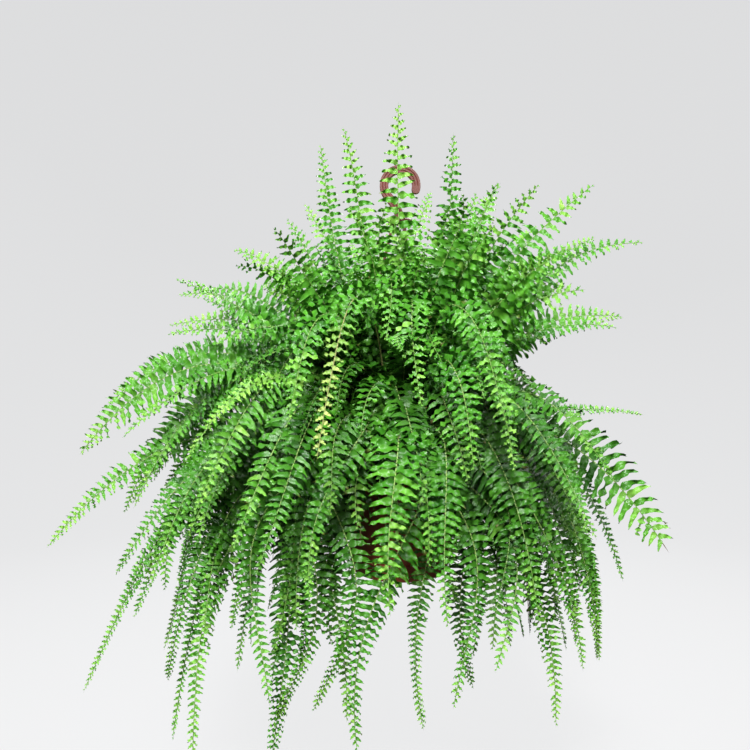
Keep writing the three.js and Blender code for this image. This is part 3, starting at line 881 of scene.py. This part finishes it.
# a tapered wall with two moulded steps, a flat flange and a turned-down lip
POT_PROFILE = (
    [(44, 4.0), (64.5, 4.0)]
    + arc_points(65.3, 7.2, 3.2, -90, -10, 6)
    + [(69.6, 14), (70.6, 20), (71.6, 20.8), (75.4, 42), (75.4, 43.2), (76.2, 44)]
    + [(91.2, 126), (92.4, 127), (92.9, 131), (94.0, 138)]
    + [(94.6, 146.4), (95.6, 147.3), (104.6, 147.5), (105.7, 146.6), (105.8, 142.2)]
    + [(106.2, 141.3), (107.4, 141.3)]
    + arc_points(106.2, 148.2, 1.8, 0, 90, 6)
    + [(98, 150), (97, 149.4), (94.2, 149.4), (92.7, 148.6), (91.6, 140), (90.4, 130)]
    + [(88.9, 124), (73.9, 46), (68.9, 20), (66.2, 9), (63.5, 6.4), (44, 6.4)]
)
POT_DISC = [(0.02, 4.0), (44.0, 4.0), (44.0, 6.4), (0.02, 6.4)]

# a shallow dish with a foot ring inside and a rolled edge
SAUCER_PROFILE = (
    [(30, 0.0), (70.4, 0.0)]
    + arc_points(70.4, 2.2, 2.2, -80, -5, 5)
    + [(75.6, 12), (76.4, 13), (79.2, 24.6)]
    + arc_points(78.6, 25.0, 1.0, 0, 180, 7)
    + [(75.0, 14), (74.2, 13), (71.4, 3.8), (70.0, 2.4), (60, 2.4), (59, 3.3), (57, 3.3), (56, 2.4)]
    + [(30, 2.4)]
)
SAUCER_DISC = [(0.02, 0.0), (30.0, 0.0), (30.0, 2.4), (0.02, 2.4)]

piece(lathe("pot_shell", POT_PROFILE), "terracotta_plastic", "pot")
piece(lathe("pot_base", POT_DISC), "terracotta_plastic")
piece(lathe("saucer_shell", SAUCER_PROFILE), "terracotta_plastic", "saucer")
piece(lathe("saucer_base", SAUCER_DISC), "terracotta_plastic")


# ---------------------------------------------------------------- soil and crown
SOIL_R = SOIL_HIGH.x - 0.0008
SOIL_LOW = SOIL_HIGH.z - 0.017  # underside of the soil's modelled top
SOIL_DOME = 0.016  # from there to the middle of its surface
CROWN_DOME = CROWN_H * 0.8  # the mound itself, under the stalks that bristle from it


def lump(name, radius, low, high, bumps, material):
    """A closed mound with a flat underside and an uneven top."""
    dice = np.random.default_rng(17)
    rings, spokes = 34, 96
    waves = dice.uniform(-1, 1, (24, 5))
    disc = []
    for j in range(1, rings + 1):
        r = radius * j / rings
        for k in range(spokes):
            a = 2 * math.pi * k / spokes
            disc.append((r, r * math.cos(a), r * math.sin(a)))
    verts = [(0, 0, low)] + [(x, y, low) for r, x, y in disc]
    top = len(verts)
    verts.append((0, 0, high))
    for r, x, y in disc[:-spokes]:
        rough = sum(w[4] * math.sin(260 * w[0] * x + 260 * w[1] * y + 6 * w[2]) for w in waves)
        dome = low + (high - low) * math.sqrt(max(0.0, 1 - (r / radius) ** 2))
        verts.append((x, y, dome + bumps * rough / 5 + dice.uniform(-1, 1) * bumps * 0.35))
    faces = []
    for k in range(spokes):
        m = (k + 1) % spokes
        faces.append((0, 1 + m, 1 + k))
        faces.append((top, top + 1 + k, top + 1 + m))
        for j in range(rings - 1):
            a, b = 1 + j * spokes, 1 + (j + 1) * spokes
            faces.append((a + k, a + m, b + m, b + k))
        for j in range(rings - 2):
            a, b = top + 1 + j * spokes, top + 1 + (j + 1) * spokes
            faces.append((a + k, b + k, b + m, a + m))
        # the top's last ring meets the underside's edge
        a, b = top + 1 + (rings - 2) * spokes, 1 + (rings - 1) * spokes
        faces.append((a + k, b + k, b + m, a + m))
    return solid(name, verts, faces, material, smooth_faces=True)


def icosahedron():
    """Corners and faces of a ball of radius 1 with 20 sides."""
    g = 1.618  # the golden section
    corners = [(0, 1, g), (0, 1, -g), (0, -1, g), (0, -1, -g)]
    corners += [(1, g, 0), (1, -g, 0), (-1, g, 0), (-1, -g, 0)]
    corners += [(g, 0, 1), (-g, 0, 1), (g, 0, -1), (-g, 0, -1)]
    ball = np.array(corners)
    ball = ball / np.linalg.norm(ball[0])
    faces = []
    for i in range(12):
        for j in range(i + 1, 12):
            for k in range(j + 1, 12):
                tri = ball[[i, j, k]]
                sides = [np.linalg.norm(tri[m] - tri[m - 1]) for m in range(3)]
                if max(sides) < 1.2:
                    flip = np.dot(np.cross(tri[1] - tri[0], tri[2] - tri[0]), tri[0]) < 0
                    faces.append((i, k, j) if flip else (i, j, k))
    return ball, faces


BALL, BALL_FACES = icosahedron()


def granules(name, count, seed, small, large, squash, material):
    """Rough grains that lie on the soil round the crown."""
    dice = np.random.default_rng(seed)
    co, faces = [], []
    for n in range(count):
        r = SOIL_R * 0.97 * math.sqrt(dice.uniform(0.28, 1))
        a = dice.uniform(0, 2 * math.pi)
        size = dice.uniform(small, large)
        dome = math.sqrt(max(0.0, 1 - (r / SOIL_R) ** 2))
        z = SOIL_LOW + SOIL_DOME * dome + size * 0.25
        shape = BALL * size * dice.uniform(0.7, 1.2, (12, 1)) * np.array([1, squash, 0.7])
        shape = turned(shape, dice.uniform(0, PHASE))
        co.append(shape + np.array([r * math.cos(a), r * math.sin(a), z]))
        faces += [tuple(12 * n + v for v in f) for f in BALL_FACES]
    return solid(name, np.concatenate(co), faces, material)


def rods(name, lines, radii, sides=6):
    """Closed tapering rods along lines of points."""
    co, faces = [], []
    for line, radius in zip(lines, radii):
        n = len(line)
        along = unit(np.gradient(line, axis=0))
        x = unit(np.cross(along, np.array([0.3, 0.2, 1.0])))
        y = np.cross(along, x)
        first = len(co)
        for i in range(n):
            for k in range(sides):
                a = 2 * math.pi * k / sides
                co.append(line[i] + (x[i] * math.cos(a) + y[i] * math.sin(a)) * radius[i])
        for i in range(n - 1):
            for k in range(sides):
                m = (k + 1) % sides
                a, b = first + i * sides, first + (i + 1) * sides
                faces.append((a + k, a + m, b + m, b + k))
        faces.append(tuple(first + k for k in reversed(range(sides))))
        faces.append(tuple(first + (n - 1) * sides + k for k in range(sides)))
    return solid(name, co, faces, STALK, smooth_faces=True)


def crown_stalks(count=260, steps=6):
    """Short young stalks and old leaf bases that bristle from the crown."""
    rng = random.Random(41)
    lines, radii = [], []
    t = np.linspace(0, 1, steps)
    rise = t[:, None]
    for _ in range(count):
        a = rng.uniform(0, 2 * math.pi)
        r = CROWN_R * 0.94 * math.sqrt(rng.random())
        away = np.array([math.cos(a), math.sin(a), 0])
        z = CROWN_LOW.z + CROWN_DOME * math.sqrt(max(0, 1 - (r / CROWN_R) ** 2)) - 0.004
        long = rng.uniform(0.014, 0.045)
        lean = 0.25 + 0.9 * r / CROWN_R
        line = away * r + UP * z + away * lean * long * rise**1.4
        lines.append(line + UP * long * (rise - 0.2 * rise**2))
        radii.append(rng.uniform(0.0009, 0.0019) * (1 - 0.75 * t))
    return rods("crown_stalks", lines, radii)


def runners(count=14, steps=28):
    """Thin wiry runners that arch out between the fronds and hang, as a Boston fern's do."""
    rng = random.Random(77)
    lines, radii = [], []
    t = np.linspace(0, 1, steps)[:, None]
    for n in range(count):
        a = math.radians(-90) + (n - (count - 1) / 2) / count * 2 * math.pi * 0.96
        a += rng.uniform(-0.15, 0.15)
        away = np.array([math.cos(a), math.sin(a), 0])
        across = np.array([-away[1], away[0], 0])
        reach = rng.uniform(0.15, 0.21)
        low = rng.uniform(-0.20, -0.05)
        foot = away * CROWN_R * 0.6 + UP * (CROWN_LOW.z + CROWN_H * 0.6)
        guide = away * reach * 0.9 + UP * (RIM_Z + rng.uniform(0.06, 0.12))
        tip = away * reach + UP * (RIM_Z + low)
        line = (1 - t) ** 2 * foot + 2 * t * (1 - t) * guide + t * t * tip
        lines.append(line + across * np.sin(t * rng.uniform(5, 9)) * 0.012 * t)
        radii.append(np.linspace(0.0010, 0.0004, steps))
    return rods("runners", lines, radii)


soil = lump("soil_top", SOIL_R, SOIL_LOW, SOIL_LOW + SOIL_DOME, 0.0022, SOIL)
piece(soil, "potting_mix", "soil")
piece(granules("soil_perlite", 150, 5, 0.0010, 0.0026, 0.9, PERLITE), "potting_mix")
piece(granules("soil_bark", 260, 6, 0.0016, 0.0042, 0.5, BARK), "potting_mix")
CROWN_TOP = CROWN_LOW.z + CROWN_DOME
crown = lump("crown_mound", CROWN_R * 0.96, CROWN_LOW.z - 0.002, CROWN_TOP, 0.003, BARK)
piece(crown, "crown", "crown")
piece(crown_stalks(), "crown")
piece(runners(), "crown")


# ---------------------------------------------------------------- stage, light and camera
FLOOR_Z = CAD_BOX[0].z - 0.32
FLOOR_R = 2.6
BEND_R = 1.6  # of the curve from the floor into the wall
WALL_TOP = 5.5
PALE = (0.985, 0.99, 1.0)


def bowl(segments=96, bends=12):
    """A pale floor that curves up into a wall all round, well outside every view's camera."""
    profile = [(0.0, 0.0), (FLOOR_R, 0.0)]
    for j in range(1, bends + 1):
        a = j / bends * math.pi / 2
        profile.append((FLOOR_R + BEND_R * math.sin(a), BEND_R * (1 - math.cos(a))))
    profile.append((FLOOR_R + BEND_R, WALL_TOP))
    verts, faces = [], []
    for r, z in profile:
        for k in range(segments):
            a = 2 * math.pi * k / segments
            verts.append((r * math.cos(a), r * math.sin(a), FLOOR_Z + z))
    for j in range(len(profile) - 1):
        for k in range(segments):
            m = (k + 1) % segments
            a, b = j * segments, (j + 1) * segments
            faces.append((a + k, a + m, b + m, b + k))
    mesh = bpy.data.meshes.new("studio_bowl")
    mesh.from_pydata(verts, [], faces)
    mesh.polygons.foreach_set("use_smooth", [True] * len(faces))
    wall = Look("studio_wall")
    wall.shader.inputs["Base Color"].default_value = (0.10, 0.10, 0.10, 1)
    wall.shader.inputs["Roughness"].default_value = 0.95
    wall.shader.inputs["Emission Color"].default_value = (*PALE, 1)
    wall.shader.inputs["Emission Strength"].default_value = 0.70
    made = link("studio_bowl", mesh, wall.material)
    made.visible_shadow = False
    made.visible_diffuse = False
    made.visible_glossy = False
    return made


floor = bowl()

world = bpy.data.worlds.new("studio")
bpy.context.scene.world = world
world.use_nodes = True
sky = world.node_tree.nodes["Background"]
sky.inputs["Color"].default_value = (0.93, 0.96, 1.0, 1)
sky.inputs["Strength"].default_value = 0.03

# Each lamp: name, place, the point it faces, its width and height, its power in watts.
LAMPS = [
    ("top_front", (-0.3, -2.1, 1.7), (0, 0, -0.45), (0.6, 0.5), 136),
    ("front_fill", (0.9, -2.4, 0.1), (0, 0, -0.6), (1.4, 1.4), 6),
    ("back_rim", (0.4, 1.9, 1.9), (0, 0, -0.4), (1.6, 1.2), 95),
    ("right_side", (2.3, 0.2, 0.7), (0, 0, -0.4), (1.4, 1.4), 30),
    ("left_side", (-2.3, 0.4, 0.7), (0, 0, -0.4), (1.4, 1.4), 30),
]
for name, place, target, sides, power in LAMPS:
    data = bpy.data.lights.new(name, "AREA")
    data.shape = "RECTANGLE"
    data.size, data.size_y = sides
    data.energy = power
    lamp = bpy.data.objects.new(name, data)
    lamp.location = place
    lamp.rotation_euler = (Vector(target) - Vector(place)).to_track_quat("-Z", "Y").to_euler()
    bpy.context.scene.collection.objects.link(lamp)

LENS = 31.44  # mm, on a sensor 36 mm wide
EYE = (-0.038, -1.0, POT_LOW + 0.331)
EYE_DOWN = 2.01  # degrees that the camera looks below the level

camera = bpy.data.cameras.new("camera")
camera.sensor_width = 36
camera.lens = LENS
eye = bpy.data.objects.new("camera", camera)
eye.location = EYE
eye.rotation_euler = (math.radians(90 - EYE_DOWN), 0, 0)
bpy.context.scene.collection.objects.link(eye)
bpy.context.scene.camera = eye
bpy.context.scene.view_settings.view_transform = "Standard"
